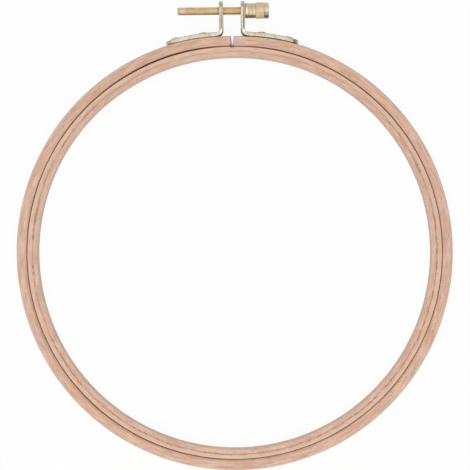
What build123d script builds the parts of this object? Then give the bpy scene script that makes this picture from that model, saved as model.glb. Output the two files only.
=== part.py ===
from build123d import *
import math
import os

os.makedirs("parts", exist_ok=True)

# A round wooden embroidery hoop, lying flat. The origin is the centre of the opening at
# half height, +Z is the ring axis and +Y points at the clamping screw. Sizes in millimetres.

# Rings
seam_diameter = 160.0  # nominal size: where the outer ring meets the inner ring
ring_height = 8.0
outer_ring_wall = 3.9
ply_wall = 2.0  # the inner ring is two plies, glued one inside the other
seam_clearance = 0.15  # each ring stands back this much from the seam
glue_gap = 0.03
ring_edge_round = 0.7
split_gap = 1.15  # width of the outer ring's split, at its outer face
split_slant = 0.45  # how far the left end leans in over the wall
flex_cut = 0.04  # between the two halves of the outer ring, at the bottom

# Brackets: one bent strip of metal on each side of the split
strip_width = 7.6
strip_thickness = 1.65
strip_seat_gap = 0.02
lug_spacing = 6.75  # clear width between the two lugs
screw_above_ring = 9.3  # from the outer ring's outer face to the screw axis
bend_outer_radius = 2.7
bend_inner_radius = 1.05
near_nail_arc = 11.3  # from the split to each nail, along the ring's outer face
far_nail_arc = 22.0

# Nails that hold the brackets to the wood
nail_radius = 0.6
nail_depth = 3.1  # in the wood
nail_point = 0.6
nail_clearance = 0.02
nail_head_radius = 1.5
nail_head_edge = 0.3
nail_head_height = 0.8

# Screw
screw_radius = 1.5
thread_pitch = 0.5
thread_depth = 0.27
thread_run_out = 0.4  # plain stretch under the knob
shank_length = 26.15  # from the knob's face to the tip
tip_chamfer = 0.35
lug_clearance = 0.09  # around the screw, in both lugs

# Knob, from the lug outwards
knob_face_gap = 0.05
bead_count = 3
bead_pitch = 1.4
bead_root_radius = 2.85
bead_crest_radius = 3.15
knurl_radius = 3.22
knurl_length = 3.0
knurl_depth = 0.12
knurl_count = 48
rim_groove_radius = 2.85
rim_groove_width = 0.4
rim_radius = 3.16
rim_length = 1.6
rim_round = 0.5
slot_width = 1.1
slot_depth = 1.4
slot_turn = 117.0  # degrees about the screw axis
socket_depth = 5.5  # how far the screw is pressed into the knob
socket_clearance = 0.02

# The full travel of the left lug, which moves one pitch for each turn of the knob
opening_turns = 10
lug_travel = opening_turns * thread_pitch

# Places and sizes worked out from those above
seam_radius = seam_diameter / 2
outer_ring_inside = seam_radius + seam_clearance
outer_ring_outside = outer_ring_inside + outer_ring_wall
inner_ring_outside = seam_radius - seam_clearance
outer_ply_inside = inner_ring_outside - ply_wall
inner_ply_outside = outer_ply_inside - glue_gap
opening_radius = inner_ply_outside - ply_wall
foot_inside = outer_ring_outside + strip_seat_gap
foot_outside = foot_inside + strip_thickness
lug_inside = lug_spacing / 2
lug_outside = lug_inside + strip_thickness
screw_height = outer_ring_outside + screw_above_ring
lug_top = screw_height + strip_width / 2
near_nail_angle = math.degrees(near_nail_arc / outer_ring_outside)
far_nail_angle = math.degrees(far_nail_arc / outer_ring_outside)
foot_end_angle = far_nail_angle + math.degrees(strip_width / 2 / foot_outside)
knob_face = lug_outside + knob_face_gap
screw_tip = knob_face - shank_length
# The outer ring flexes at its bottom, right below the middle of the left lug's travel
flex_x = -(lug_inside + lug_outside + lug_travel) / 2
overrun = ring_height  # how far each cutting shape runs past what it cuts
reach = lug_top + overrun

LEFT, RIGHT = -1, 1


def ring_section(inside, outside, round_inside, round_outside):
    """Half section of a ring, with its chosen edges rounded."""
    with BuildSketch(Plane.XZ) as section:
        with Locations(((inside + outside) / 2, 0)):
            Rectangle(outside - inside, ring_height)
        sides = section.vertices().group_by(Axis.X)
        rounded = (sides[0] if round_inside else []) + (sides[-1] if round_outside else [])
        fillet(rounded, ring_edge_round)
    return section.sketch


def nail_plane(side, angle, radius):
    """Plane square to a nail, at a distance from the ring axis: Z points out of the hoop
    and X along the foot, towards its end."""
    turn = math.radians(angle)
    outward = Vector(side * math.sin(turn), math.cos(turn), 0)
    along = Vector(side * math.cos(turn), -math.sin(turn), 0)
    return Plane(origin=outward * radius, x_dir=along, z_dir=outward)


def drill_nail_holes(side, radius, depth):
    """Both nail holes of one side, drilled inwards from the given radius."""
    for angle in (near_nail_angle, far_nail_angle):
        with Locations(nail_plane(side, angle, radius)):
            Hole(nail_radius + nail_clearance, depth=depth)


def outer_ring_half(side, outline):
    """What an outline keeps of the outer ring, with its two nail holes."""
    with BuildPart() as half:
        section = ring_section(outer_ring_inside, outer_ring_outside, True, True)
        revolve(section, axis=Axis.Z)
        with BuildSketch(Plane.XY.offset(-overrun)):
            with BuildLine():
                Polyline(*outline, close=True)
            make_face()
        extrude(amount=2 * overrun, mode=Mode.INTERSECT)
        drill_nail_holes(side, outer_ring_outside, nail_depth + nail_clearance)
    return half


def outer_ring_right():
    """From the split's straight end, clockwise to the flex line."""
    end_x = split_gap / 2
    cut_x = flex_x + flex_cut / 2
    outline = [
        (end_x, 0),
        (end_x, reach),
        (reach, reach),
        (reach, -reach),
        (cut_x, -reach),
        (cut_x, 0),
    ]
    return outer_ring_half(RIGHT, outline)


def outer_ring_left():
    """From the split's slanted end, the other way round to the flex line."""
    cut_x = flex_x - flex_cut / 2
    slope = split_slant / outer_ring_wall
    above, below = reach, outer_ring_inside - overrun
    end_above = -split_gap / 2 - slope * (above - outer_ring_outside)
    end_below = -split_gap / 2 - slope * (below - outer_ring_outside)
    outline = [
        (cut_x, 0),
        (cut_x, -reach),
        (-reach, -reach),
        (-reach, above),
        (end_above, above),
        (end_below, below),
        (end_below, 0),
    ]
    return outer_ring_half(LEFT, outline)


def inner_ring_ply(inside, outside, round_inside, round_outside):
    """One ply of the inner ring, a closed hoop."""
    with BuildPart() as ply:
        revolve(ring_section(inside, outside, round_inside, round_outside), axis=Axis.Z)
    return ply


def keep_round_end(plane):
    """Rounds the end of a strip that lies in a plane: keeps a half circle about the plane's
    origin and all that lies on the plane's -X side."""
    with BuildSketch(plane) as kept:
        Circle(strip_width / 2)
        with Locations((-reach / 2, 0)):
            Rectangle(reach, strip_width)
    extrude(kept.sketch, amount=reach, both=True, mode=Mode.INTERSECT)


def bracket(side):
    """A strip with a foot that follows the ring and a lug that stands up beside the split."""
    arc_start = 90 - side * foot_end_angle
    inner_turn = foot_end_angle - math.degrees(math.asin(lug_inside / foot_inside))
    outer_turn = foot_end_angle - math.degrees(math.asin(lug_outside / foot_outside))
    with BuildPart() as strip:
        with BuildSketch(Plane.XY.offset(-strip_width / 2)) as side_view:
            with BuildLine():
                inner_arc = CenterArc((0, 0), foot_inside, arc_start, side * inner_turn)
                outer_arc = CenterArc((0, 0), foot_outside, arc_start, side * outer_turn)
                lug_end = [(side * lug_inside, lug_top), (side * lug_outside, lug_top)]
                Polyline(inner_arc @ 1, *lug_end, outer_arc @ 1)
                Line(inner_arc @ 0, outer_arc @ 0)
            make_face()
            # The inner bend first: it leaves the lug's inner face, the first column, alone
            columns = side_view.vertices().group_by(Axis.X, reverse=side == LEFT)
            fillet(columns[1].sort_by(Axis.Y)[0], bend_inner_radius)
            columns = side_view.vertices().group_by(Axis.X, reverse=side == LEFT)
            fillet(columns[0].sort_by(Axis.Y)[0], bend_outer_radius)
        extrude(amount=strip_width)
        lug_face = Plane((side * lug_outside, screw_height, 0), x_dir=(0, 1, 0), z_dir=(side, 0, 0))
        keep_round_end(lug_face)
        keep_round_end(nail_plane(side, far_nail_angle, foot_outside))
        with Locations(lug_face):
            Hole(screw_radius + lug_clearance, depth=2 * strip_thickness)
        drill_nail_holes(side, foot_outside, 2 * strip_thickness)
    return strip


def nail(side, angle):
    """A short nail with a low domed head on the strip and its point in the wood."""
    seat = nail_plane(side, angle, foot_outside)
    length = foot_outside - outer_ring_outside + nail_depth
    with BuildPart() as piece:
        with BuildSketch(Plane(origin=seat.origin, x_dir=seat.x_dir, z_dir=-seat.y_dir)):
            with BuildLine():
                dome = TangentArc(
                    (0, nail_head_height), (nail_head_radius, nail_head_edge), tangent=(1, 0)
                )
                outline = [
                    dome @ 1,
                    (nail_head_radius, 0),
                    (nail_radius, 0),
                    (nail_radius, nail_point - length),
                    (0, -length),
                    dome @ 0,
                ]
                Polyline(*outline)
            make_face()
        revolve(axis=Axis(seat.origin, seat.z_dir))
    return piece


def clamp_screw():
    """The threaded rod. Each turn of its thread is a ring groove of the same pitch."""
    crest_share, root_share = 1 / 8, 1 / 4
    root_width = root_share * thread_pitch
    flank_width = (1 - crest_share - root_share) / 2 * thread_pitch
    root_radius = screw_radius - thread_depth
    threaded = shank_length - thread_run_out - tip_chamfer
    outline = [(knob_face + socket_depth, 0), (knob_face + socket_depth, screw_radius)]
    for turn in range(int(threaded / thread_pitch)):
        groove = knob_face - thread_run_out - turn * thread_pitch
        outline += [
            (groove, screw_radius),
            (groove - flank_width, root_radius),
            (groove - flank_width - root_width, root_radius),
            (groove - 2 * flank_width - root_width, screw_radius),
        ]
    outline += [
        (screw_tip + tip_chamfer, screw_radius),
        (screw_tip, screw_radius - tip_chamfer),
        (screw_tip, 0),
    ]
    with BuildPart() as screw:
        with BuildSketch(Plane.XY):
            with BuildLine():
                Polyline(*[(x, screw_height + radius) for x, radius in outline], close=True)
            make_face()
        revolve(axis=Axis((0, screw_height, 0), (1, 0, 0)))
    return screw


def thumb_knob():
    """Turned sleeve: ring beads by the lug, a straight knurl, a groove and a slotted rim."""
    beads_end = knob_face + bead_count * bead_pitch
    knurl_end = beads_end + knurl_length
    rim_start = knurl_end + rim_groove_width
    knob_end = rim_start + rim_length
    with BuildPart() as knob:
        with BuildSketch(Plane.XY) as turned:
            with BuildLine():
                Line((knob_face, screw_height), (knob_face, screw_height + bead_root_radius))
                for bead in range(bead_count):
                    start = knob_face + bead * bead_pitch
                    ThreePointArc(
                        (start, screw_height + bead_root_radius),
                        (start + bead_pitch / 2, screw_height + bead_crest_radius),
                        (start + bead_pitch, screw_height + bead_root_radius),
                    )
                steps = [
                    (beads_end, bead_root_radius),
                    (beads_end, knurl_radius),
                    (knurl_end, knurl_radius),
                    (knurl_end, rim_groove_radius),
                    (rim_start, rim_groove_radius),
                    (rim_start, rim_radius),
                    (knob_end, rim_radius),
                    (knob_end, 0),
                    (knob_face, 0),
                ]
                Polyline(*[(x, screw_height + radius) for x, radius in steps])
            make_face()
            fillet(turned.vertices().sort_by(Axis.X)[-2:].sort_by(Axis.Y)[-1], rim_round)
        revolve(axis=Axis((0, screw_height, 0), (1, 0, 0)))
        with BuildSketch(Plane.YZ.offset(beads_end)):
            with Locations((screw_height, 0)):
                with PolarLocations(knurl_radius, knurl_count):
                    RegularPolygon(knurl_depth, 4)
        extrude(amount=knurl_length, mode=Mode.SUBTRACT)
        turn = math.radians(slot_turn)
        across = (0, math.cos(turn), math.sin(turn))
        with BuildSketch(Plane((knob_end, screw_height, 0), x_dir=across, z_dir=(1, 0, 0))):
            Rectangle(2 * knurl_radius, slot_width)
        extrude(amount=-slot_depth, mode=Mode.SUBTRACT)
        with Locations(Plane((knob_face, screw_height, 0), z_dir=(-1, 0, 0))):
            Hole(screw_radius + socket_clearance, depth=socket_depth + socket_clearance)
    return knob


pieces = {
    "outer_ring_right": outer_ring_right(),
    "outer_ring_left": outer_ring_left(),
    "inner_ring_outer_ply": inner_ring_ply(outer_ply_inside, inner_ring_outside, False, True),
    "inner_ring_inner_ply": inner_ring_ply(opening_radius, inner_ply_outside, True, False),
    "right_bracket": bracket(RIGHT),
    "left_bracket": bracket(LEFT),
    "right_near_nail": nail(RIGHT, near_nail_angle),
    "right_far_nail": nail(RIGHT, far_nail_angle),
    "left_near_nail": nail(LEFT, near_nail_angle),
    "left_far_nail": nail(LEFT, far_nail_angle),
    "clamp_screw": clamp_screw(),
    "thumb_knob": thumb_knob(),
}
for name, piece in pieces.items():
    piece.part.label = name
    export_step(piece.part, f"parts/{name}.step")
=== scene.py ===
import math

import bmesh
import bpy
from mathutils import Matrix, Vector


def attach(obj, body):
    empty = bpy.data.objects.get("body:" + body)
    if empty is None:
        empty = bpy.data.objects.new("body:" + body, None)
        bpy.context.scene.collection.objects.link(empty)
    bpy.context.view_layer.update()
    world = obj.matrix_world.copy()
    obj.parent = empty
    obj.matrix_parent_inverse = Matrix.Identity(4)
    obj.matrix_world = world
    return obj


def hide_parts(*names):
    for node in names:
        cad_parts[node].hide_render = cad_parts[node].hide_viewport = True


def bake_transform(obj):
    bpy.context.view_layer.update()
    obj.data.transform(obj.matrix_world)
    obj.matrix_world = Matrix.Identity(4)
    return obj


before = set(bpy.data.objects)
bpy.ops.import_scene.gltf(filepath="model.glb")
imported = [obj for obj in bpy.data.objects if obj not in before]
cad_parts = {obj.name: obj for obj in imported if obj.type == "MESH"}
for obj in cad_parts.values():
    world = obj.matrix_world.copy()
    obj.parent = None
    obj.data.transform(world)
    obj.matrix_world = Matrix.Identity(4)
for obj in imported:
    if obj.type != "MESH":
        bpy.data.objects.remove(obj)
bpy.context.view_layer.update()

# Camera: straight above the hoop, which lies flat and a little turned in the picture.
# The picture's middle lies a little above the middle of the opening.
camera_height = 0.8195
camera_right, camera_up = 0.00020, 0.00660
camera_turn = math.radians(-0.66)
camera_lens, camera_sensor = 162.2, 36.0

camera_data = bpy.data.cameras.new("camera")
camera_data.lens = camera_lens
camera_data.sensor_width = camera_sensor
camera = bpy.data.objects.new("camera", camera_data)
camera.location = (camera_right, camera_up, camera_height)
camera.rotation_euler = (0, 0, camera_turn)
bpy.context.scene.collection.objects.link(camera)
bpy.context.scene.camera = camera


# Outer ring: one strip of steamed beech, 4 mm thick and 8 mm high, bent round a form and
# sanded bare. It is split at the top, and flexes at the bottom, where its two halves meet.
mm = 0.001
tiny = 0.001 * mm
ring_height = 8.0 * mm
face_height = ring_height / 2
seam_radius = 80.0 * mm
outer_inside = 80.12 * mm
outer_outside = 84.05 * mm
outer_thick = outer_outside - outer_inside
ring_edge_round = 0.7 * mm
ring_step = math.radians(0.5)
left_end, left_slant, left_end_round = 0.52 * mm, 0.49 * mm, 0.25 * mm
right_end, right_slant, right_end_round = 0.54 * mm, 0.53 * mm, 0.30 * mm
flex_line = -6.7 * mm
flex_reach = 0.35 * mm


def deselect_all():
    """Nothing selected, so that a new primitive stands alone."""
    bpy.ops.object.select_all(action="DESELECT")


def make_active(piece):
    """Selects one piece alone."""
    deselect_all()
    piece.select_set(True)
    bpy.context.view_layer.objects.active = piece


def open_mesh(piece):
    """Edit mode on one piece, with nothing selected."""
    make_active(piece)
    bpy.ops.object.mode_set(mode="EDIT")
    bpy.ops.mesh.select_mode(type="VERT")
    bpy.ops.mesh.select_all(action="DESELECT")


def close_mesh():
    """Back out of edit mode."""
    bpy.ops.object.mode_set(mode="OBJECT")


def pick(piece, kind, test):
    """Selects the verts, edges or faces of the open piece that pass a test, and no others."""
    bpy.ops.mesh.select_mode(type=kind)
    bpy.ops.mesh.select_all(action="DESELECT")
    mesh = bmesh.from_edit_mesh(piece.data)
    mesh.normal_update()
    parts = {"VERT": mesh.verts, "EDGE": mesh.edges, "FACE": mesh.faces}[kind]
    for part in parts:
        if test(part):
            part.select_set(True)
    bmesh.update_edit_mesh(piece.data)


def is_end(face):
    """The flat end of a spun or drawn-out shape is one face with many corners."""
    return len(face.verts) > 8


def is_end_edge(edge):
    """An edge that goes round such an end."""
    return any(is_end(face) for face in edge.link_faces)


def face_outwards():
    """Merges doubles and turns all faces of the open piece outwards."""
    bpy.ops.mesh.select_all(action="SELECT")
    bpy.ops.mesh.remove_doubles(threshold=0.1 * tiny)
    bpy.ops.mesh.normals_make_consistent(inside=False)


def new_piece(name):
    """Names the primitive that was just added."""
    piece = bpy.context.object
    piece.name = name
    piece.data.name = name
    return piece


def apply_modifier(piece, kind, **settings):
    """Adds a modifier with its settings and applies it."""
    make_active(piece)
    modifier = piece.modifiers.new(kind.lower(), kind)
    for key, value in settings.items():
        setattr(modifier, key, value)
    bpy.ops.object.modifier_apply(modifier=modifier.name)


def smooth(piece, degrees):
    """Smooth shading, but for edges sharper than some degrees."""
    make_active(piece)
    bpy.ops.object.shade_smooth_by_angle(angle=math.radians(degrees))


def ring_section(name, inside, outside, inner_round, outer_round, turn=0.0):
    """The rounded outline of a ring's section, to be spun. It stands at the top of the hoop,
    or turned away from there to the right."""
    deselect_all()
    middle = (0, (inside + outside) / 2, 0)
    bpy.ops.mesh.primitive_plane_add(size=1, location=middle, rotation=(0, math.pi / 2, 0))
    section = new_piece(name)
    section.scale = (ring_height, outside - inside, 1)
    bpy.ops.object.transform_apply(location=True, rotation=True, scale=True)
    open_mesh(section)
    for radius, roundness in ((inside, inner_round), (outside, outer_round)):
        pick(section, "VERT", lambda corner: abs(corner.co.y - radius) < tiny)
        bpy.ops.mesh.bevel(offset=roundness, segments=7, affect="VERTICES")
    pick(section, "FACE", lambda face: True)
    bpy.ops.mesh.delete(type="ONLY_FACE")
    close_mesh()
    section.data.transform(Matrix.Rotation(-turn, 4, "Z"))
    return section


def spin_round(section, angle):
    """Spins an outline to the right about the ring axis, and leaves its mesh open."""
    open_mesh(section)
    bpy.ops.mesh.select_all(action="SELECT")
    bpy.ops.mesh.spin(steps=round(abs(angle) / ring_step), angle=angle, center=(0, 0, 0),
                      axis=(0, 0, 1))


def outer_half(name, side, split_end, slant, end_round):
    """From the split, round one side, to the flex line at the bottom. The end at the split
    leans in towards the inner ring, and the right one leans most in its middle."""
    start = math.asin(split_end / outer_outside)
    end = math.pi + side * math.asin(-flex_line / outer_outside)
    half = ring_section(name, outer_inside, outer_outside, ring_edge_round, ring_edge_round, side * start)
    spin_round(half, side * (end - start))
    # The points at the split lean, and those beside the flex line are put on it
    for corner in bmesh.from_edit_mesh(half.data).verts:
        if corner.co.y > 0 and abs(corner.co.x) < 1.1 * split_end:
            depth = (outer_outside - corner.co.y) / outer_thick
            if side > 0:
                depth = depth * depth * (3 - 2 * depth)
            corner.co.x = side * (split_end - depth * slant)
        elif corner.co.y < 0 and abs(corner.co.x - flex_line) < flex_reach:
            corner.co.x = flex_line
    bpy.ops.mesh.select_mode(type="EDGE")
    bpy.ops.mesh.select_all(action="DESELECT")
    bpy.ops.mesh.select_non_manifold(extend=False, use_wire=False, use_multi_face=False,
                                     use_non_contiguous=False, use_verts=False)
    bpy.ops.mesh.edge_face_add()
    face_outwards()
    pick(half, "EDGE", lambda edge: edge.verts[0].co.y > 0 and is_end_edge(edge))
    bpy.ops.mesh.bevel(offset=end_round, segments=4)
    close_mesh()
    return half


def keep_place(piece, name):
    """Stores where each point lies while the piece is still true, for its material."""
    place = piece.data.attributes.new(name, "FLOAT_VECTOR", "POINT")
    for vertex, stored in zip(piece.data.vertices, place.data):
        stored.vector = vertex.co


# Where the rings aren't true circles. Each dip has a depth, a middle and a half width. The
# last two are in degrees, and the middle is counted from the top to the right.
outer_dips = ((0.30 * mm, 0.0, 36.0), (0.40 * mm, 0.0, 9.0))
seam_dips = ((0.22 * mm, 170.0, 42.0), (0.26 * mm, 30.0, 26.0), (0.07 * mm, -35.0, 25.0))
inner_dips = ((0.46 * mm, -7.0, 27.5), (0.08 * mm, -28.0, 11.0), (0.09 * mm, 0.0, 12.0),
              (-0.04 * mm, 180.0, 60.0), (-0.06 * mm, -95.0, 35.0), (-0.04 * mm, 95.0, 35.0))
# The wood this near the seam moves with it
seam_reach = 1.0 * mm
# Above the ring, the metal is drawn out from one radius on and over a length
drawn_from, drawn_over = 86.4 * mm, 3.0 * mm


def dip_at(place, dips):
    """How deep the dips are at a place."""
    turn = math.degrees(math.atan2(place.x, place.y))
    return sum(depth * math.exp(-((((turn - middle + 180) % 360 - 180) / width) ** 2))
               for depth, middle, width in dips)


def shift_seam(piece):
    """The strips aren't quite even in thickness, so the seam lies a little further in there."""
    for vertex in piece.data.vertices:
        radius = math.hypot(vertex.co.x, vertex.co.y)
        if abs(radius - seam_radius) < seam_reach:
            nearer = 1 - dip_at(vertex.co, seam_dips) / radius
            vertex.co.x *= nearer
            vertex.co.y *= nearer


def flatten_top(piece, dips):
    """A ring bent by hand is a little flatter at its top than a true circle, and the screw
    draws its ends in. What stands above the ring stays in place, and the metal between is
    drawn out."""
    for vertex in piece.data.vertices:
        turn = math.atan2(vertex.co.x, vertex.co.y)
        radius = math.hypot(vertex.co.x, vertex.co.y)
        share = 1 - min(max((radius - drawn_from) / drawn_over, 0), 1)
        sunk = dip_at(vertex.co, dips) * share * share * (3 - 2 * share)
        vertex.co.y -= sunk * math.cos(turn)
        vertex.co.x -= sunk * math.sin(turn)


class Nodes:
    """A short way to write a node tree: each call adds a node and feeds its inputs."""

    def __init__(self, tree):
        self.tree = tree

    def feed(self, node, key, value):
        """Links or sets an input. It is named by its label, or by its number as in i0."""
        if key[0] == "i" and key[1:].isdigit():
            key = int(key[1:])
        else:
            key = key.replace("_", " ")
        if isinstance(value, bpy.types.NodeSocket):
            self.tree.links.new(value, node.inputs[key])
        else:
            node.inputs[key].default_value = value

    def add(self, kind, settings=None, **inputs):
        node = self.tree.nodes.new(kind)
        for key, value in (settings or {}).items():
            setattr(node, key, value)
        for key, value in inputs.items():
            self.feed(node, key, value)
        return node

    def object_place(self):
        return self.add("ShaderNodeTexCoord").outputs["Object"]

    def stored_place(self, name):
        return self.add("ShaderNodeAttribute", {"attribute_name": name}).outputs["Vector"]

    def parts(self, vector):
        """The three numbers of a vector."""
        return self.add("ShaderNodeSeparateXYZ", Vector=vector).outputs

    def vector_maths(self, operation, first, second=(0, 0, 0)):
        node = self.add("ShaderNodeVectorMath", {"operation": operation}, i0=first, i1=second)
        return node.outputs["Value" if operation == "LENGTH" else 0]

    def maths(self, operation, first, second=0.0):
        return self.add("ShaderNodeMath", {"operation": operation}, i0=first, i1=second).outputs[0]

    def times(self, first, *others):
        """The product of two or more numbers."""
        for factor in others:
            first = self.maths("MULTIPLY", first, factor)
        return first

    def off(self, value, middle):
        """How far a number lies from a middle."""
        return self.maths("ABSOLUTE", self.maths("SUBTRACT", value, middle))

    def span(self, value, low, high, to_low=0.0, to_high=1.0):
        """Eases from one value to another while the input goes from low to high."""
        node = self.add("ShaderNodeMapRange", {"interpolation_type": "SMOOTHSTEP"}, Value=value,
                        From_Min=low, From_Max=high, To_Min=to_low, To_Max=to_high)
        return node.outputs[0]

    def sector(self, turn, middle, low, high, to_low, to_high):
        """Eases in the same way as a turn goes away from a middle, all in degrees."""
        return self.span(self.off(turn, math.radians(middle)), math.radians(low),
                         math.radians(high), to_low, to_high)

    def mix(self, share, first, second):
        node = self.add("ShaderNodeMix", {"data_type": "RGBA"}, i0=share, i6=first, i7=second)
        return node.outputs[2]

    def noise(self, vector, w, scale=1.0, detail=1.0, roughness=0.5):
        node = self.add("ShaderNodeTexNoise", {"noise_dimensions": "4D"}, Vector=vector, W=w,
                        Scale=scale, Detail=detail, Roughness=roughness)
        return node.outputs[0]


def effect_group(name, values, masks):
    """A new shader node group. It is given a place and some values, and puts out masks."""
    tree = bpy.data.node_groups.new(name, "ShaderNodeTree")
    tree.interface.new_socket("Place", in_out="INPUT", socket_type="NodeSocketVector")
    for label in values:
        tree.interface.new_socket(label, in_out="INPUT", socket_type="NodeSocketFloat")
    for label in masks:
        tree.interface.new_socket(label, in_out="OUTPUT", socket_type="NodeSocketFloat")
    return Nodes(tree), tree.nodes.new("NodeGroupInput").outputs, tree.nodes.new("NodeGroupOutput")


# The layers of the wood's figure. Each has the length of its cells along the ring and across
# it, a seed, a detail, a roughness, and the two levels of noise between which it comes in.
beech_layers = {
    "Streak": (7.0 * mm, 0.75 * mm, 3.7, 2.0, 0.55, 0.34, 0.66),
    "Fine Streak": (3.0 * mm, 0.26 * mm, 8.1, 1.0, 0.5, 0.30, 0.70),
    "Tone": (6.0 * mm, 1.9 * mm, 11.2, 1.0, 0.5, 0.36, 0.64),
    "Cloud": (26.0 * mm, 5.0 * mm, 17.5, 1.0, 0.5, 0.36, 0.64),
    "Flush": (6.5 * mm, 2.6 * mm, 29.3, 1.0, 0.5, 0.38, 0.62),
    "Fleck": (1.7 * mm, 0.30 * mm, 23.9, 1.0, 0.5, 0.61, 0.71),
    "Dash": (2.2 * mm, 60.0 * mm, 41.3, 1.5, 0.5, 0.49, 0.60),
}


def beech_figure():
    """Beech on a bent strip: long fibre streaks, broad rosy and straw tones, and the short
    dark flecks of its rays. The noise runs on a circle, so that it has no join."""
    n, given, out = effect_group("beech_figure", ("Seed",), (*beech_layers, "Radius", "Turn", "Height"))
    flat = n.vector_maths("MULTIPLY", given["Place"], (1, 1, 0))
    radius = n.vector_maths("LENGTH", flat)
    unit = n.vector_maths("NORMALIZE", flat)
    right, forward, up = n.parts(given["Place"])
    noises = {}
    for label, (along, across, seed, detail, roughness, low, high) in beech_layers.items():
        stretch = seam_radius / along
        circle = n.vector_maths("MULTIPLY", unit, (stretch, stretch, stretch))
        lifted = n.add("ShaderNodeCombineXYZ", Z=n.times(radius, 1 / across)).outputs[0]
        w = n.maths("ADD", n.maths("ADD", n.times(up, 1 / across), seed), given["Seed"])
        noises[label] = n.noise(n.vector_maths("ADD", circle, lifted), w, 1.0, detail, roughness)
        n.feed(out, label, n.span(noises[label], low, high))
    n.feed(out, "Radius", radius)
    n.feed(out, "Turn", n.maths("ARCTAN2", forward, right))
    n.feed(out, "Height", n.maths("SUBTRACT", noises["Fine Streak"], n.times(noises["Fleck"], 0.6)))
    return n.tree


def new_material(name):
    """A material with a Principled BSDF, and its nodes."""
    material = bpy.data.materials.new(name)
    material.use_nodes = True
    return material, Nodes(material.node_tree), material.node_tree.nodes["Principled BSDF"]


beech_group = beech_figure()
beech_rosy = (0.710, 0.408, 0.336, 1)
beech_straw = (0.690, 0.495, 0.332, 1)
beech_peach = (0.775, 0.445, 0.290, 1)
beech_pink = (0.680, 0.452, 0.392, 1)
beech_light = (0.780, 0.565, 0.445, 1)
beech_brown = (0.450, 0.260, 0.165, 1)
# A dark brown for painted shadow in the seam and at the sawn ends
beech_shade_brown = (0.230, 0.080, 0.042, 1)
beech_grey = (0.610, 0.500, 0.440, 1)
beech_end = (0.330, 0.200, 0.140, 1)
# The four colours below are for painted shade; some of it also stands for stain, dirt and handling grey
beech_shade_and_wear_grey = (0.660, 0.560, 0.510, 1)
seam_shadow_and_stain = (0.336, 0.085, 0.020, 1)
split_edge_shade_grey = (0.56, 0.46, 0.43, 1)
foot_crevice_shade = (0.17, 0.070, 0.030, 1)


def bare_beech(name, seed, edge_greying=None):
    """Sanded bare beech: its material, nodes, shader, figure and colour. Where the last argument is
    given, a rounded edge is greyed from one radius to another and up to a share: painted edge shade, with
    some handling grey."""
    material, n, shader = new_material(name)
    place = n.stored_place("place")
    figure = n.add("ShaderNodeGroup", {"node_tree": beech_group}, Place=place, Seed=seed).outputs
    colour = n.mix(figure["Tone"], beech_rosy, beech_straw)
    for layer, low, high, at_low, at_high, tone in (
        ("Cloud", 0.0, 1.0, 0.0, 0.40, beech_light),
        ("Cloud", 0.0, 0.5, 0.25, 0.0, beech_grey),
        ("Flush", 0.4, 1.0, 0.0, 0.42, beech_peach),
        ("Flush", 0.0, 0.6, 0.58, 0.0, beech_pink),
        ("Streak", 0.0, 0.8, 0.46, 0.0, beech_brown),
        ("Streak", 0.6, 1.0, 0.0, 0.45, beech_light),
        ("Fine Streak", 0.0, 0.5, 0.34, 0.0, beech_brown),
        ("Fine Streak", 0.5, 1.0, 0.0, 0.40, beech_peach),
    ):
        colour = n.mix(n.span(figure[layer], low, high, at_low, at_high), colour, tone)
    colour = n.mix(n.times(figure["Fleck"], 0.55), colour, beech_end)
    height = n.maths("ABSOLUTE", n.parts(place)[2])
    # Painted edge shade, with some handling grey, on a rounded edge
    if edge_greying:
        start, full, greying_share = edge_greying
        edge_shade_and_wear = n.times(n.span(figure["Radius"], start, full, 0.0, greying_share),
                          n.span(height, face_height - 1.8 * mm, face_height - 0.8 * mm, 0.2, 1.0))
        colour = n.mix(edge_shade_and_wear, colour, beech_shade_and_wear_grey)
    # Painted seam shadow, with some brown stain: the edges of the seam are darkened, most near the
    # split, and some at the lower left
    near_seam = n.span(n.off(figure["Radius"], seam_radius), 0.16 * mm, 0.40 * mm, 1.0, 0.0)
    seam_shade_share = n.maths("ADD", n.sector(figure["Turn"], 78, 25, 66, 0.95, 0.10),
                      n.sector(figure["Turn"], -120, 12, 32, 0.36, 0.0))
    seam_shade_share = n.times(near_seam, seam_shade_share,
                      n.span(height, face_height - 1.3 * mm, face_height - 0.7 * mm))
    colour = n.mix(seam_shade_share, colour, seam_shadow_and_stain)
    # The wood on both sides of the split, at the top of the hoop, is browned a little
    colour = n.mix(n.sector(figure["Turn"], 78, 40, 100, 0.07, 0.0), colour, beech_brown)
    n.feed(shader, "Roughness", n.span(figure["Fine Streak"], 0.0, 1.0, 0.66, 0.54))
    shader.inputs["Specular IOR Level"].default_value = 0.35
    bump = n.add("ShaderNodeBump", Strength=0.4, Distance=0.06 * mm, Height=figure["Height"])
    n.feed(shader, "Normal", bump.outputs[0])
    return material, n, shader, figure, colour


outer_edge_greying = (outer_outside - 0.85 * mm, outer_outside - 0.05 * mm, 0.60)
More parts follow.
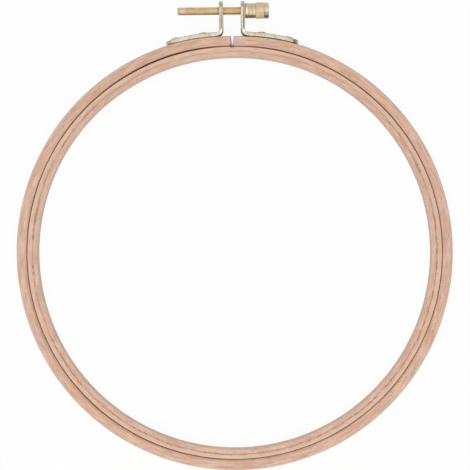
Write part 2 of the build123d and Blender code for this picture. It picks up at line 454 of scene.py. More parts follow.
# Each half with its split end, how far the painted grey edge shade and painted dark end shadow reach
# behind the sawn end, how much deeper the dark goes near the outside, and the painted crevice shade by
# its bracket
for node, side, split_end, slant, end_round, grey_shade_reach, dark_shadow_reach, deeper, crevice_shade_share in (
    ("outer_ring_right", 1, right_end, right_slant, right_end_round, 1.35 * mm, 0.0, 0.0, 0.90),
    ("outer_ring_left", -1, left_end, left_slant, left_end_round, 1.05 * mm, 0.22 * mm, 0.18 * mm, 0.30),
):
    half = outer_half(f"{node}_wood", side, split_end, slant, end_round)
    outer_beech, n, shader, figure, colour = bare_beech(f"{node}_beech", 1.0, outer_edge_greying)
    radius, turn = figure["Radius"], figure["Turn"]
    # Painted shade: the wood beside the seam is browned, most at the lower left, where its rounded edge
    # faces away from the light
    lower_left = n.maths("COSINE", n.maths("ADD", turn, math.radians(130)))
    beside = n.times(n.span(radius, seam_radius + 0.75 * mm, seam_radius + 1.30 * mm, 1.0, 0.0),
                     n.span(lower_left, 0.1, 1.0, 0.09, 0.44))
    colour = n.mix(beside, colour, beech_brown)
    # Painted shade at the sawn end: grey just behind it for the shade of its rounded edge, and dark end
    # grain at the edge itself for the shadowed end face
    right, forward, up = n.parts(n.stored_place("place"))
    at_top = n.maths("GREATER_THAN", forward, 0.0)
    lean = n.times(n.maths("SUBTRACT", outer_outside, radius), slant / outer_thick)
    behind = n.maths("ADD", n.maths("SUBTRACT", n.maths("ABSOLUTE", right), split_end), lean)
    edge_shade_grey_share = n.times(n.span(behind, 0.45 * mm, grey_shade_reach, 0.85, 0.0), at_top)
    colour = n.mix(edge_shade_grey_share, colour, split_edge_shade_grey)
    deep = n.maths("ADD", n.span(radius, seam_radius + 1.4 * mm, seam_radius + 0.3 * mm, 0.0, 0.7 * mm),
                   n.span(radius, outer_outside - 0.65 * mm, outer_outside - 1.65 * mm, 0.0, deeper))
    sawn_end_shadow = n.span(n.maths("SUBTRACT", behind, deep), dark_shadow_reach, dark_shadow_reach + 0.12 * mm, 0.9, 0.0)
    shaded_end_grain = n.mix(figure["Fine Streak"], beech_shade_brown, beech_end)
    colour = n.mix(n.times(sawn_end_shadow, at_top), colour, shaded_end_grain)
    # Painted shade in the crevice along the feet of the two brackets
    crevice_shade = n.span(radius, outer_outside - 0.50 * mm, outer_outside - 0.10 * mm, 0.0, crevice_shade_share)
    crevice_shade = n.times(crevice_shade, n.sector(turn, 90, 17.2, 17.9, 1.0, 0.0),
                    n.sector(turn, 90, 2.6, 3.6, 0.0, 1.0))
    n.feed(shader, "Base Color", n.mix(crevice_shade, colour, foot_crevice_shade))
    half.data.materials.append(outer_beech)
    keep_place(half, "place")
    shift_seam(half)
    flatten_top(half, outer_dips)
    smooth(half, 40)
    if side > 0:
        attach(half, "right_half")
    else:
        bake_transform(half)
    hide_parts(node)


# Inner ring: two plies of beech, each 2 mm thick, glued one inside the other. The glue
# line is a broken dark line on the flat faces, and fades at the upper left.
inner_outside = 79.88 * mm
glue_radius = 77.85 * mm
glue_thick = 0.02 * mm
inner_inside = 75.82 * mm
ply_edge_round = 0.09 * mm
seam_edge_round = 0.42 * mm
inner_drop = Vector((0.02 * mm, -0.02 * mm, 0))
inner_edge_greying = (inner_inside + 0.78 * mm, inner_inside + 0.08 * mm, 0.36)
glue_brown = (0.30, 0.165, 0.095, 1)

for node, inside, outside, inner_round, outer_round, seed, edge_greying in (
    ("inner_ring_outer_ply", glue_radius, inner_outside, ply_edge_round, seam_edge_round, 31.0, None),
    ("inner_ring_inner_ply", inner_inside, glue_radius - glue_thick, ring_edge_round, ply_edge_round,
     57.0, inner_edge_greying),
):
    ply = ring_section(f"{node}_wood", inside, outside, inner_round, outer_round)
    spin_round(ply, 2 * math.pi)
    face_outwards()
    close_mesh()
    keep_place(ply, "place")
    shift_seam(ply)
    flatten_top(ply, inner_dips)
    ply.data.transform(Matrix.Translation(inner_drop))
    ply_beech, n, shader, figure, colour = bare_beech(f"{node}_beech", seed, edge_greying)
    # Painted highlight: the outer ply is lighter towards where it meets the outer ring, for its rounded
    # edge catching the light
    edge_highlight_share = n.span(figure["Radius"], glue_radius + 0.05 * mm, glue_radius + 1.55 * mm, 0.05, 0.45)
    colour = n.mix(edge_highlight_share, colour, beech_light)
    # The glue line: how near a point lies to it, and how strongly it shows there
    away = n.off(figure["Radius"], glue_radius - glue_thick / 2)
    glued = n.times(n.span(away, 0.12 * mm, 0.58 * mm, 0.72, 0.0),
                    n.span(figure["Dash"], 0.0, 1.0, 0.20, 1.0),
                    n.sector(figure["Turn"], 84, 22, 55, 0.05, 1.0))
    colour = n.mix(glued, colour, glue_brown)
    # Below the split, the seam edge is painted dark: painted shadow, with some dirt
    shadow_below_split = n.times(n.sector(figure["Turn"], 90.1, 0.35, 0.8, 0.85, 0.0),
                     n.span(figure["Radius"], seam_radius - 0.75 * mm, seam_radius - 0.40 * mm))
    n.feed(shader, "Base Color", n.mix(shadow_below_split, colour, beech_shade_brown))
    ply.data.materials.append(ply_beech)
    smooth(ply, 40)
    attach(ply, "inner_ring")
    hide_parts(node)


# Brackets: pale plated strip, stamped with round ends, drilled, and bent over a former.
# The foot follows the ring, and the lug stands up beside the split and takes the screw.
strip_width = 7.6 * mm
strip_thick = 1.65 * mm
strip_edge_round = 0.42 * mm
strip_end_sides = 46
foot_inside = 84.07 * mm
lug_inside = 3.375 * mm
bend_radius = 2.7 * mm
bend_swell_share = 0.10
foot_steps, bend_steps = 26, 20
screw_up = 93.35 * mm
screw_hole = 1.60 * mm
near_nail_turn = 11.3 * mm / outer_outside
far_nail_turn = 22.0 * mm / outer_outside
nail_hole = 0.62 * mm
strip_fresh = (0.71, 0.63, 0.49, 1)
strip_tarnish = (0.56, 0.49, 0.36, 1)
# The colours from here on are painted reflections, highlights and shade, partly with dirt
lug_core_shade_grey = (0.25, 0.225, 0.165, 1)
lug_side_highlight = (0.95, 0.90, 0.80, 1)
dent_shade_dark = (0.20, 0.18, 0.12, 1)
bend_highlight = (0.98, 0.95, 0.87, 1)
bend_crevice_shade_and_dirt = (0.13, 0.11, 0.075, 1)

bend_right = lug_inside + bend_radius
bend_up = math.sqrt((foot_inside + bend_radius) ** 2 - bend_right ** 2)
bend_start_turn = math.asin(bend_right / (foot_inside + bend_radius))
foot_middle = foot_inside + strip_thick / 2
bend_middle = bend_radius - strip_thick / 2
far_end_turn = far_nail_turn + strip_width / 2 / foot_middle
foot_length = (far_end_turn - bend_start_turn) * foot_middle
bend_length = (math.pi / 2 - bend_start_turn) * bend_middle
lug_start = foot_length + bend_length
strip_length = lug_start + screw_up + strip_width / 2 - bend_up
near_nail_along = (far_end_turn - near_nail_turn) * foot_middle


def bent(along, out):
    """Where a point of the flat strip goes: along is its place from the foot's end, and out
    its place in the thickness, from the side that lies on the wood."""
    if along < foot_length:
        turn = far_end_turn - along / foot_middle
        return (foot_inside + out) * math.sin(turn), (foot_inside + out) * math.cos(turn)
    if along < lug_start:
        turn = bend_start_turn + (along - foot_length) / bend_middle
        reach = bend_radius - out
        return bend_right - reach * math.sin(turn), bend_up - reach * math.cos(turn)
    return lug_inside + out, bend_up + along - lug_start


def swollen(along, out):
    """Bending draws the strip narrower outside the bend and swells it inside."""
    share = min(max((along - foot_length) / bend_length, 0), 1)
    return 1 + bend_swell_share * (out / strip_thick - 0.5) * math.sin(math.pi * share)


def copy_of(piece, name):
    """A copy with its own mesh."""
    twin = piece.copy()
    twin.data = piece.data.copy()
    twin.name = name
    twin.data.name = name
    bpy.context.scene.collection.objects.link(twin)
    return twin


def cut_away(piece, cutter):
    """Cuts one closed shape out of another, and removes the cutter."""
    apply_modifier(piece, "BOOLEAN", object=cutter, operation="DIFFERENCE", solver="EXACT")
    bpy.data.objects.remove(cutter)


deselect_all()
bpy.ops.mesh.primitive_circle_add(vertices=strip_end_sides, radius=strip_width / 2, fill_type="NGON",
                                  location=(strip_width / 2, 0, 0),
                                  rotation=(0, 0, math.pi / strip_end_sides))
strip = new_piece("right_bracket_strip")
bpy.ops.object.transform_apply(location=True, rotation=True, scale=True)
open_mesh(strip)
pick(strip, "VERT", lambda corner: corner.co.x > strip_width / 2)
bpy.ops.transform.translate(value=(strip_length - strip_width, 0, 0))
bpy.ops.mesh.select_all(action="SELECT")
bpy.ops.mesh.extrude_region_move(TRANSFORM_OT_translate={"value": (0, 0, strip_thick)})
face_outwards()
pick(strip, "EDGE", is_end_edge)
bpy.ops.mesh.bevel(offset=strip_edge_round, segments=5)
close_mesh()
strip_holes = ((strip_length - strip_width / 2, screw_hole), (near_nail_along, nail_hole),
               (strip_width / 2, nail_hole))
for along, radius in strip_holes:
    deselect_all()
    bpy.ops.mesh.primitive_cylinder_add(vertices=48, radius=radius, depth=4 * strip_thick,
                                        location=(along, 0, 0))
    cut_away(strip, new_piece("drill"))
open_mesh(strip)
foot_cuts = [foot_length * step / foot_steps for step in range(1, foot_steps + 1)]
bend_cuts = [foot_length + bend_length * step / bend_steps for step in range(1, bend_steps + 1)]
for along in foot_cuts + bend_cuts:
    bpy.ops.mesh.select_all(action="SELECT")
    bpy.ops.mesh.bisect(plane_co=(along, 0, 0), plane_no=(1, 0, 0))
close_mesh()
keep_place(strip, "flat_place")
for vertex in strip.data.vertices:
    along, across, out = vertex.co
    vertex.co.x, vertex.co.y = bent(along, out)
    vertex.co.z = -across * swollen(along, out)
flatten_top(strip, outer_dips)
open_mesh(strip)
face_outwards()
close_mesh()


def metal_wear():
    """Handled metal: faint cloudy tarnish, fine lines the way it was rolled or turned, and
    small scuffs. The place is given so that its lines run along the first axis."""
    n, given, out = effect_group("metal_wear", ("Line Length", "Line Width"),
                                 ("Tarnish", "Lines", "Scuffs", "Height"))
    right, forward, up = n.parts(given["Place"])
    lined = n.add("ShaderNodeCombineXYZ", X=n.maths("DIVIDE", right, given["Line Length"]),
                  Y=n.maths("DIVIDE", forward, given["Line Width"]),
                  Z=n.maths("DIVIDE", up, given["Line Width"])).outputs[0]
    lines = n.noise(lined, 2.0, 1.0, 2.0, 0.6)
    tarnish = n.noise(given["Place"], 7.0, 420.0, 3.0, 0.55)
    scuffs = n.noise(n.vector_maths("MULTIPLY", given["Place"], (900, 2600, 2200)), 12.0)
    n.feed(out, "Tarnish", n.span(tarnish, 0.35, 0.68))
    n.feed(out, "Lines", n.span(lines, 0.30, 0.70))
    n.feed(out, "Scuffs", n.span(scuffs, 0.60, 0.74))
    n.feed(out, "Height", n.maths("ADD", lines, n.times(tarnish, 0.8)))
    return n.tree


metal_group = metal_wear()


def handled_metal(name, fresh, tarnish, line_length, line_width, smoothest, roughest,
                  bump_strength, place_name=None):
    """Metal with tarnish and fine lines: its material, nodes, shader and colour."""
    material, n, shader = new_material(name)
    place = n.stored_place(place_name) if place_name else n.object_place()
    masks = n.add("ShaderNodeGroup", {"node_tree": metal_group}, Place=place,
                  Line_Length=line_length, Line_Width=line_width).outputs
    colour = n.mix(n.span(masks["Tarnish"], 0.0, 1.0, 0.0, 0.8), fresh, tarnish)
    colour = n.mix(n.span(masks["Lines"], 0.0, 1.0, 0.35, 0.0), colour, tarnish)
    n.feed(shader, "Base Color", colour)
    shader.inputs["Metallic"].default_value = 1.0
    rough = n.maths("MAXIMUM", masks["Tarnish"], masks["Scuffs"])
    n.feed(shader, "Roughness", n.span(rough, 0.0, 1.0, smoothest, roughest))
    bump = n.add("ShaderNodeBump", Strength=bump_strength, Distance=0.03 * mm, Height=masks["Height"])
    n.feed(shader, "Normal", bump.outputs[0])
    return material, n, shader, colour


strip_metal, n, shader, colour = handled_metal(
    "pale_plated_strip", strip_fresh, strip_tarnish, 6.0 * mm, 0.30 * mm, 0.42, 0.55, 0.10,
    "flat_place")
along, across, out = n.parts(n.stored_place("flat_place"))
on_right = n.maths("GREATER_THAN", n.parts(n.object_place())[0], 0.0)


def by_side(left, right):
    """A value for the left bracket and another for the right."""
    return n.span(on_right, 0.0, 1.0, left, right)


# Painted reflection on the edge of each lug: grey along the middle of its thickness for painted shade,
# and a painted highlight on one rounded side
off_core = n.maths("DIVIDE", n.off(out, by_side(0.84 * mm, 1.12 * mm)), by_side(0.42 * mm, 0.25 * mm))
on_lug = n.span(along, lug_start, lug_start + 0.7 * mm)
core_shade = n.times(n.span(off_core, 0.5, 1.4, 1.0, 0.0), by_side(0.66, 0.95), on_lug,
                    n.span(along, lug_start + 4.4 * mm, lug_start + 8.2 * mm, 1.0, 0.25))
colour = n.mix(core_shade, colour, lug_core_shade_grey)
on_left = n.maths("SUBTRACT", 1.0, on_right)
side_highlight = n.maths("ADD", n.times(n.span(out, 1.25 * mm, 1.45 * mm), on_right),
                     n.times(n.span(out, 0.42 * mm, 0.22 * mm), on_left))
side_highlight = n.times(side_highlight, on_lug, 0.55)
colour = n.mix(side_highlight, colour, lug_side_highlight)
# Behind the far nail the right foot is painted dark, a painted shade for a dent that isn't modelled
dent_shade = n.times(n.span(n.off(along, 1.5 * mm), 0.15 * mm, 0.65 * mm, 0.75, 0.0), on_right)
colour = n.mix(dent_shade, colour, dent_shade_dark)
# Each bend has a painted highlight on the inside of its edges, where the bending tool has also
# burnished it smoother, and painted shade with some dirt outside it, where the strip leaves the wood
burnish_and_highlight = n.times(
    n.span(n.off(along, lug_start - 0.75 * mm), 0.3 * mm, 1.1 * mm, 1.0, 0.0),
    n.span(n.off(out, by_side(0.75 * mm, 1.20 * mm)), 0.22 * mm, 0.50 * mm, 1.0, 0.0),
    n.span(n.maths("ABSOLUTE", across), strip_width / 2 - 1.0 * mm, strip_width / 2 - 0.5 * mm))
colour = n.mix(burnish_and_highlight, colour, bend_highlight)
painted_shade_share = n.times(n.span(n.off(along, foot_length + bend_length * 0.45), 1.6 * mm, 2.4 * mm, 0.75, 0.0),
                n.span(out, 0.14 * mm, 0.40 * mm, 1.0, 0.0))
n.feed(shader, "Base Color", n.mix(painted_shade_share, colour, bend_crevice_shade_and_dirt))
roughness = shader.inputs["Roughness"].links[0].from_socket
n.feed(shader, "Roughness", n.times(roughness, n.span(burnish_and_highlight, 0.0, 1.0, 1.0, 0.7)))
strip.data.materials.append(strip_metal)
left_strip = copy_of(strip, "left_bracket_strip")
open_mesh(left_strip)
bpy.ops.mesh.select_all(action="SELECT")
bpy.ops.transform.resize(value=(-1, 1, 1), center_override=(0, 0, 0))
face_outwards()
close_mesh()
for bracket, body, node in (
    (strip, "right_half", "right_bracket"),
    (left_strip, "left_half", "left_bracket"),
):
    smooth(bracket, 30)
    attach(bracket, body)
    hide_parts(node)


# Nails: four short ones with low, slightly uneven heads, driven through the feet into the
# wood. A pale metal like the strip's, a little darker.
nail_radius = 0.6 * mm
nail_head = 1.5 * mm
nail_length = 4.75 * mm
nail_point = 0.6 * mm
foot_outside = foot_inside + strip_thick
nail_fresh = (0.64, 0.57, 0.43, 1)
nail_tarnish = (0.42, 0.37, 0.27, 1)
# The shank and then the head: how far each step rises, and how much it widens
nail_steps = ((nail_length, 1.0), (0.0, nail_head * 0.96 / nail_radius), (0.06 * mm, 1.04),
              (0.22 * mm, 1.0), (0.13 * mm, 0.97), (0.10 * mm, 0.92), (0.07 * mm, 0.85),
              (0.04 * mm, 0.75), (0.02 * mm, 0.55), (0.01 * mm, 0.35))

deselect_all()
bpy.ops.mesh.primitive_circle_add(vertices=40, radius=nail_radius, fill_type="NGON",
                                  location=(0, 0, -nail_length))
nail = new_piece("nail_blank")
bpy.ops.object.transform_apply(location=True, rotation=True, scale=True)
open_mesh(nail)
bpy.ops.mesh.select_all(action="SELECT")
for rise, widen in nail_steps:
    bpy.ops.mesh.extrude_region_move(TRANSFORM_OT_translate={"value": (0, 0, rise)})
    bpy.ops.transform.resize(value=(widen, widen, 1))
pick(nail, "FACE", lambda face: face.calc_center_median().z < -nail_length + 0.01 * mm)
bpy.ops.mesh.extrude_region_move(TRANSFORM_OT_translate={"value": (0, 0, -0.02 * mm)})
bpy.ops.transform.resize(value=(0.25, 0.25, 1))
for corner in bmesh.from_edit_mesh(nail.data).verts:
    if corner.co.z < -nail_length + 0.005 * mm and corner.co.xy.length > nail_radius * 0.9:
        corner.co.z += nail_point
face_outwards()
close_mesh()

nail_metal = handled_metal("nail_metal", nail_fresh, nail_tarnish, 1.5 * mm, 0.3 * mm, 0.36, 0.50, 0.2)[0]
nail.data.materials.append(nail_metal)
for node, side, turn, body, tilt in (
    ("right_near_nail", 1, near_nail_turn, "right_half", (3.0, -2.0)),
    ("right_far_nail", 1, far_nail_turn, "right_half", (-2.0, 5.0)),
    ("left_near_nail", -1, near_nail_turn, "left_half", (2.0, 3.0)),
    ("left_far_nail", -1, far_nail_turn, "left_half", (-3.0, -1.0)),
):
    placed = copy_of(nail, f"{node}_metal")
    # The head leans a little on the strip, each one its own way
    for vertex in placed.data.vertices:
        if vertex.co.z > 0.05 * mm:
            vertex.co.z += vertex.co.x * math.radians(tilt[0]) + vertex.co.y * math.radians(tilt[1])
    stand = Matrix.Rotation(-side * turn, 4, "Z") @ Matrix.Translation((0, foot_outside, 0))
    placed.data.transform(stand @ Matrix.Rotation(-math.pi / 2, 4, "X"))
    flatten_top(placed, outer_dips)
    smooth(placed, 30)
    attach(placed, body)
    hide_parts(node)
bpy.data.objects.remove(nail)


# Clamping screw: a brass rod, 3 mm thick, with a rolled thread over its whole length. Its
# right end is pressed into the knob, and its left end has a small chamfer.
screw_radius = 1.55 * mm
thread_root = 1.46 * mm
thread_pitch = 0.5 * mm
thread_rise_shares = (0.0, 0.42, 0.80, 1.0, 1.0, 0.80, 0.42, 0.0, 0.0)
thread_steps = 36
screw_tip = -21.075 * mm
screw_end = 10.575 * mm
tip_chamfer = 0.35 * mm
overrun = 0.2 * mm
turned_sides = 96
screw_fresh = (0.84, 0.66, 0.41, 1)
screw_tarnish = (0.70, 0.51, 0.29, 1)
# The next colour is painted shade for the rod's lower side
rod_underside_shade = (0.36, 0.25, 0.15, 1)
screw_gold = (0.76, 0.52, 0.24, 1)
screw_grey = (0.66, 0.61, 0.52, 1)


def start_line(name, length, count):
    """The lower edge of a small plane, cut into a line of points. Its mesh stays open, to be
    given its shape and then wound or spun about the screw's axis."""
    deselect_all()
    bpy.ops.mesh.primitive_plane_add(size=length)
    line = new_piece(name)
    open_mesh(line)
    pick(line, "VERT", lambda corner: corner.co.y > 0)
    bpy.ops.mesh.delete(type="VERT")
    bpy.ops.mesh.select_all(action="SELECT")
    bpy.ops.mesh.subdivide(number_cuts=count - 2)
    return line


def from_left(mesh):
    """The points of a mesh, from left to right."""
    return sorted(mesh.verts, key=lambda corner: corner.co.x)


screw = start_line("clamp_screw_metal", thread_pitch, len(thread_rise_shares))
first_thread = screw_tip - 2 * thread_pitch
mesh = bmesh.from_edit_mesh(screw.data)
for corner, share in zip(from_left(mesh), thread_rise_shares):
    corner.co.x = first_thread + corner.co.x + thread_pitch / 2
    corner.co.y = thread_root + share * (screw_radius - thread_root)
bmesh.update_edit_mesh(screw.data)
close_mesh()
turns = math.ceil((screw_end - first_thread) / thread_pitch) + 2
apply_modifier(screw, "SCREW", axis="X", screw_offset=thread_pitch, iterations=turns,
               steps=thread_steps, render_steps=thread_steps, use_merge_vertices=True,
               merge_threshold=tiny, use_normal_calculate=True)
open_mesh(screw)
for end, side in ((screw_tip - overrun, -1), (screw_end + overrun, 1)):
    bpy.ops.mesh.select_all(action="SELECT")
    bpy.ops.mesh.bisect(plane_co=(end, 0, 0), plane_no=(side, 0, 0), clear_outer=True, use_fill=True)
face_outwards()
close_mesh()
deselect_all()
bpy.ops.mesh.primitive_cylinder_add(vertices=turned_sides, radius=screw_radius + 2 * tiny,
                                    depth=screw_end - screw_tip,
                                    location=((screw_end + screw_tip) / 2, 0, 0),
                                    rotation=(0, math.pi / 2, 0))
blank = new_piece("screw_blank")
bpy.ops.object.transform_apply(location=True, rotation=True, scale=True)
open_mesh(blank)
pick(blank, "EDGE", lambda edge: all(abs(corner.co.x - screw_tip) < tiny for corner in edge.verts))
bpy.ops.mesh.bevel(offset=tip_chamfer, segments=1)
close_mesh()
apply_modifier(screw, "BOOLEAN", object=blank, operation="INTERSECT", solver="EXACT")
bpy.data.objects.remove(blank)
screw.data.transform(Matrix.Translation((0, screw_up, 0)))

screw_metal, n, shader, colour = handled_metal(
    "golden_brass", screw_fresh, screw_tarnish, 2.0 * mm, 0.5 * mm, 0.48, 0.60, 0.10)
along, up, out = n.parts(n.object_place())
# Painted shade: the rod's lower side is browner
underside_shade = n.span(n.maths("SUBTRACT", up, screw_up), -1.35 * mm, -0.85 * mm, 0.75, 0.0)
colour = n.mix(underside_shade, colour, rod_underside_shade)
# Between the lugs it has kept its golden colour, and its free tip is grey
golden = n.span(along, -lug_inside - 0.5 * mm, -lug_inside + 0.5 * mm, 0.0, 0.60)
colour = n.mix(golden, colour, screw_gold)
grey_tip = n.span(along, screw_tip + 0.4 * mm, screw_tip + 1.3 * mm, 0.6, 0.0)
n.feed(shader, "Base Color", n.mix(grey_tip, colour, screw_grey))
screw.data.materials.append(screw_metal)
smooth(screw, 28)
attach(screw, "screw")
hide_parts("clamp_screw")


# Thumb knob: a turned brass sleeve. Three ring beads by the lug, a fine straight knurl, a
# groove and a rim with a screwdriver slot across its end. Paler than the screw.
knob_face = 5.075 * mm
bead_count = 3
bead_pitch = 1.4 * mm
bead_width_share = 0.98
bead_root = 2.76 * mm
bead_crest = 2.94 * mm
knurl_start = knob_face + bead_count * bead_pitch
knurl_length = 3.0 * mm
knurl_end = knurl_start + knurl_length
knurl_middle = (knurl_start + knurl_end) / 2
knurl_crest = 3.14 * mm
knurl_root = 3.06 * mm
knurl_chamfer = 0.14 * mm
knurl_chamfer_share = 0.93
knurl_count = 48
groove_radius = 3.00 * mm
groove_width = 0.4 * mm
rim_start = knurl_end + groove_width
rim_radius = 3.11 * mm
rim_length = 1.6 * mm
rim_round = 0.5 * mm
knob_end = rim_start + rim_length
slot_width = 0.9 * mm
slot_depth = 1.45 * mm
slot_turn = math.radians(143.0)
socket_depth = 5.5 * mm
socket_radius = 1.57 * mm
knob_fresh = (0.80, 0.69, 0.50, 1)
knob_tarnish = (0.69, 0.58, 0.40, 1)
knurl_warm = (0.80, 0.60, 0.42, 1)
bead_dull = (0.56, 0.46, 0.31, 1)
# The next two colours are painted highlights, and the third is painted shade
bead_highlight = (0.93, 0.83, 0.64, 1)
rim_highlight = (0.92, 0.90, 0.82, 1)
knob_shade_dark = (0.23, 0.175, 0.075, 1)


def bead_curve(middle, across, low, high, steps):
    """Points of one rounded bead: its place runs on while its radius swells and falls."""
    return [(middle - across / 2 * math.cos(math.pi * step / steps),
             low + (high - low) * math.sin(math.pi * step / steps) ** 0.75)
            for step in range(steps + 1)]


beads = []
for bead in range(bead_count):
    middle = knob_face + (bead + 0.5) * bead_pitch
    beads += bead_curve(middle, bead_pitch * bead_width_share, bead_root, bead_crest, 10)
rim_curve = [(knob_end - rim_round + rim_round * math.sin(turn),
              rim_radius - rim_round + rim_round * math.cos(turn))
             for turn in (math.radians(15 * step) for step in range(7))]
# The knob's profile, each point with its place along the axis and its radius
profile = [
    (knob_face, 0),
    (knob_face, bead_root - 0.1 * mm),
    *beads,
    (knurl_start, groove_radius),
    (knurl_end, groove_radius),
    (rim_start - 0.1 * mm, groove_radius),
    (rim_start, groove_radius + 0.06 * mm),
    (rim_start + 0.02 * mm, rim_radius - 0.12 * mm),
    (rim_start + 0.12 * mm, rim_radius),
    *rim_curve,
    (knob_end, 0),
]
knob = start_line("thumb_knob_metal", 2 * mm, len(profile))
mesh = bmesh.from_edit_mesh(knob.data)
for corner, (place, radius) in zip(from_left(mesh), profile):
    corner.co = (place, radius, 0)
bmesh.update_edit_mesh(knob.data)
bpy.ops.mesh.select_all(action="SELECT")
bpy.ops.mesh.spin(steps=turned_sides, angle=2 * math.pi, center=(0, 0, 0), axis=(1, 0, 0))
face_outwards()
close_mesh()

# The knurled band: a pipe whose outside has a groove between every two teeth
deselect_all()
bpy.ops.mesh.primitive_cylinder_add(vertices=2 * knurl_count, radius=knurl_crest,
                                    depth=knurl_length, location=(knurl_middle, 0, 0),
                                    rotation=(0, math.pi / 2, 0))
band = new_piece("knurled_band")
bpy.ops.object.transform_apply(location=True, rotation=True, scale=True)
open_mesh(band)
mesh = bmesh.from_edit_mesh(band.data)
for corner in mesh.verts:
    tooth = math.atan2(corner.co.z, corner.co.y) / (math.pi / knurl_count)
    if round(tooth) % 2:
        corner.co.y *= knurl_root / knurl_crest
        corner.co.z *= knurl_root / knurl_crest
bmesh.update_edit_mesh(band.data)
pick(band, "FACE", is_end)
bpy.ops.mesh.inset(thickness=0.0, depth=0.0)
bpy.ops.mesh.inset(thickness=knurl_chamfer, depth=0.0)
for corner in bmesh.from_edit_mesh(band.data).verts:
    if corner.co.yz.length >= knurl_root - 0.06 * mm:
        corner.co.x = knurl_middle + (corner.co.x - knurl_middle) * knurl_chamfer_share
face_outwards()
close_mesh()
apply_modifier(knob, "BOOLEAN", object=band, operation="UNION", solver="EXACT")
bpy.data.objects.remove(band)

deselect_all()
bpy.ops.mesh.primitive_cube_add(size=1, location=(knob_end, 0, 0))
slot = new_piece("slot_cutter")
slot.scale = (2 * slot_depth, 3 * rim_radius, slot_width)
slot.rotation_euler = (slot_turn, 0, 0)
bpy.ops.object.transform_apply(location=True, rotation=True, scale=True)
cut_away(knob, slot)
deselect_all()
bpy.ops.mesh.primitive_cylinder_add(vertices=turned_sides, radius=socket_radius,
                                    depth=2 * socket_depth, location=(knob_face, 0, 0),
                                    rotation=(0, math.pi / 2, 0))
cut_away(knob, new_piece("socket_cutter"))
knob.data.transform(Matrix.Translation((0, screw_up, 0)))

knob_metal, n, shader, colour = handled_metal(
    "pale_turned_brass", knob_fresh, knob_tarnish, 0.3 * mm, 3.0 * mm, 0.58, 0.68, 0.10)
along, up, out = n.parts(n.object_place())
up = n.maths("SUBTRACT", up, screw_up)
# The knurl is worn to a warmer colour
warm = n.times(n.span(along, knurl_start - 0.1 * mm, knurl_start + 0.2 * mm, 0.0, 0.4),
               n.span(along, rim_start - 0.3 * mm, rim_start, 1.0, 0.0))
colour = n.mix(warm, colour, knurl_warm)
# The bead by the lug has a painted highlight across its middle, the others are duller, and the rim has a
# painted highlight near the end
dulled = n.times(n.span(along, knob_face + 1.2 * mm, knob_face + 3.2 * mm, 0.0, 0.12),
                 n.span(along, knurl_start - 0.2 * mm, knurl_start, 1.0, 0.0))
colour = n.mix(dulled, colour, bead_dull)
bead_highlight_share = n.times(n.span(along, knob_face + 1.0 * mm, knob_face + 1.5 * mm, 0.7, 0.0),
                   n.span(n.maths("ABSOLUTE", up), 0.9 * mm, 1.8 * mm, 1.0, 0.0))
colour = n.mix(bead_highlight_share, colour, bead_highlight)
rim_highlight_share = n.times(n.span(n.off(up, -0.25 * mm), 0.4 * mm, 0.9 * mm, 0.6, 0.0),
                 n.span(along, knob_end - 1.2 * mm, knob_end - 0.8 * mm))
colour = n.mix(rim_highlight_share, colour, rim_highlight)
# Painted shade: a dark band by the lug for its contact shadow, and dark along the underside of the beads
# and on the lower side of the rim, round the slot
by_lug = n.times(n.span(along, knob_face + 0.08 * mm, knob_face + 0.34 * mm, 0.75, 0.0),
                 n.span(up, -1.2 * mm, -0.2 * mm))
under_beads = n.times(n.span(up, -2.1 * mm, -1.7 * mm, 0.70, 0.0),
                      n.span(along, knurl_start - 0.3 * mm, knurl_start, 1.0, 0.0))
by_slot = n.maths("MAXIMUM", n.span(up, -1.0 * mm, -0.4 * mm, 0.38, 0.0),
                  n.span(up, -2.2 * mm, -1.7 * mm, 0.62, 0.0))
by_slot = n.times(by_slot, n.span(along, knob_end - 2.0 * mm, knob_end - 1.8 * mm))
painted_shade_share = n.maths("MAXIMUM", by_lug, n.maths("MAXIMUM", under_beads, by_slot))
n.feed(shader, "Base Color", n.mix(painted_shade_share, colour, knob_shade_dark))
knob.data.materials.append(knob_metal)
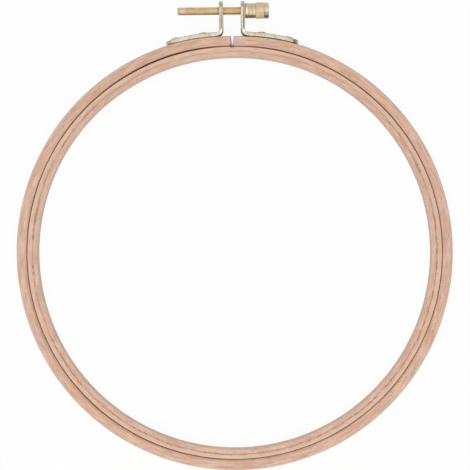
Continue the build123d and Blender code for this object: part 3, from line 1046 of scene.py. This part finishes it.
smooth(knob, 28)
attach(knob, "screw")
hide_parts("thumb_knob")


# Table and light: a white table under the hoop, a soft sky that is bright above and darker
# low down, and two soft boxes, the larger one from below the picture.
table_size = 6.0
table_gap = 0.02 * mm
table_white = (0.88, 0.88, 0.88, 1)
glow_share = 0.93

deselect_all()
bpy.ops.mesh.primitive_plane_add(size=table_size, location=(0, 0, -face_height - table_gap))
table = new_piece("table")
paper, n, shader = new_material("white_table")
shader.inputs["Base Color"].default_value = table_white
shader.inputs["Roughness"].default_value = 0.9
shader.inputs["Specular IOR Level"].default_value = 0.0
path = n.add("ShaderNodeLightPath").outputs
seen = n.maths("MAXIMUM", n.maths("MAXIMUM", path["Is Camera Ray"], path["Is Glossy Ray"]),
               path["Is Transmission Ray"])
glow = n.add("ShaderNodeEmission", Color=(1, 1, 1, 1), Strength=1.0)
blended = n.add("ShaderNodeMixShader", i0=n.times(seen, glow_share), i1=shader.outputs[0],
                i2=glow.outputs[0])
n.feed(paper.node_tree.nodes["Material Output"], "Surface", blended.outputs[0])
table.data.materials.append(paper)

sky = bpy.data.worlds.new("soft_sky")
sky.use_nodes = True
bpy.context.scene.world = sky
n = Nodes(sky.node_tree)
height = n.parts(n.add("ShaderNodeTexCoord").outputs["Generated"])[2]
background = sky.node_tree.nodes["Background"]
n.feed(background, "Color", (1, 1, 1, 1))
n.feed(background, "Strength", n.span(height, 0.30, 0.98, 0.44, 0.84))

# Each soft box points at the middle of the hoop, and has a place, a size and its watts
for name, place, size, watts in (
    ("key", (0.13, -0.56, 0.82), 0.8, 3.2),
    ("fill", (-0.42, 0.42, 0.82), 0.7, 2.0),
):
    lamp_data = bpy.data.lights.new(name, "AREA")
    lamp_data.size = size
    lamp_data.energy = watts
    lamp = bpy.data.objects.new(name, lamp_data)
    lamp.location = place
    lamp.rotation_euler = (-Vector(place)).to_track_quat("-Z", "Y").to_euler()
    bpy.context.scene.collection.objects.link(lamp)

bpy.context.scene.view_settings.view_transform = "Standard"
